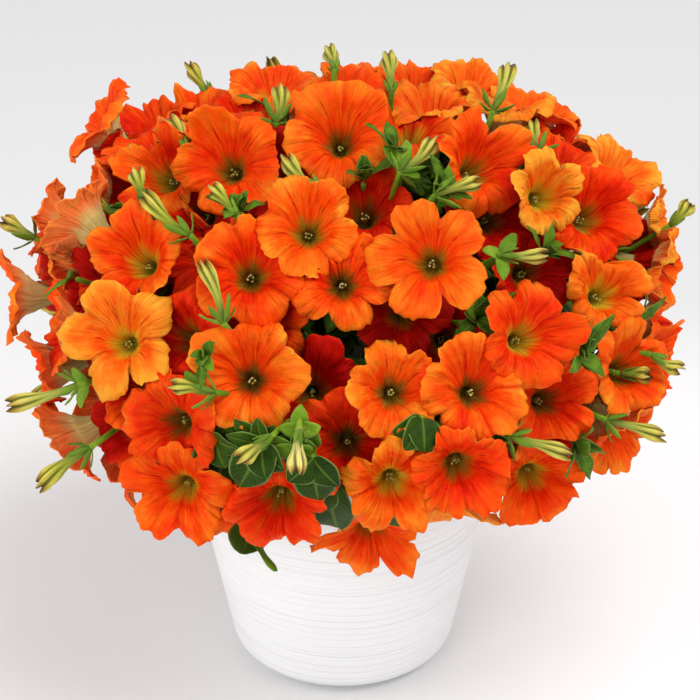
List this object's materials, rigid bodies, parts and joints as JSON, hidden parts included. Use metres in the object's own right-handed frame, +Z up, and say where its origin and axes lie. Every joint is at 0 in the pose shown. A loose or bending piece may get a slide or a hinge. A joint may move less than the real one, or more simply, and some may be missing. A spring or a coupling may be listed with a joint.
{
  "type": "potted petunia",
  "caption": "Bushy orange petunia in full bloom in a plain tapered white pot, to stand on a table, sill or balcony.",
  "frame": {"origin": "middle of the pot's foot, on the surface it stands on", "axes": "+Z up along the pot's axis, front at -Y as the picture shows it, +X to the viewer's right"},
  "size_m": [0.3266, 0.3145, 0.3079],
  "materials": {
    "pot_glaze": "satin white glaze over fine turned lines",
    "soil": "matte, crumbly potting soil",
    "foliage": "soft, finely hairy leaves, stems, sepals and buds",
    "petals": "velvety orange petals, darker red in the shade of others, with veins and a dark throat"
  },
  "bodies": {
    "root": {"pot": "pot_glaze", "soil": "soil", "stem_01": "foliage", "stem_02": "foliage", "stem_03": "foliage", "stem_04": "foliage", "stem_05": "foliage", "stem_06": "foliage", "stem_07": "foliage", "stem_08": "foliage", "blooms_01": "petals", "blooms_02": "petals", "blooms_03": "petals", "blooms_04": "petals", "blooms_05": "petals", "blooms_06": "petals", "blooms_07": "petals", "blooms_08": "petals", "blooms_09": "petals", "blooms_10": "petals", "blooms_11": "petals", "blooms_12": "petals", "blooms_13": "petals", "blooms_14": "petals", "blooms_15": "petals", "blooms_16": "petals", "blooms_17": "petals", "blooms_18": "petals", "blooms_19": "petals", "blooms_20": "petals", "blooms_21": "petals", "blooms_22": "petals", "blooms_23": "petals", "blooms_24": "petals", "blooms_25": "petals", "blooms_26": "petals", "blooms_27": "petals", "blooms_28": "petals", "blooms_29": "petals", "blooms_30": "petals", "blooms_31": "petals", "blooms_32": "petals", "blooms_33": "petals", "blooms_34": "petals", "blooms_35": "petals", "blooms_36": "petals", "blooms_37": "petals", "blooms_38": "petals", "blooms_39": "petals", "blooms_40": "petals", "blooms_41": "petals", "blooms_42": "petals", "blooms_43": "petals", "blooms_44": "petals", "blooms_45": "petals", "blooms_46": "petals", "blooms_47": "petals", "blooms_48": "petals", "blooms_49": "petals", "blooms_50": "petals"}
  },
  "joints": []
}
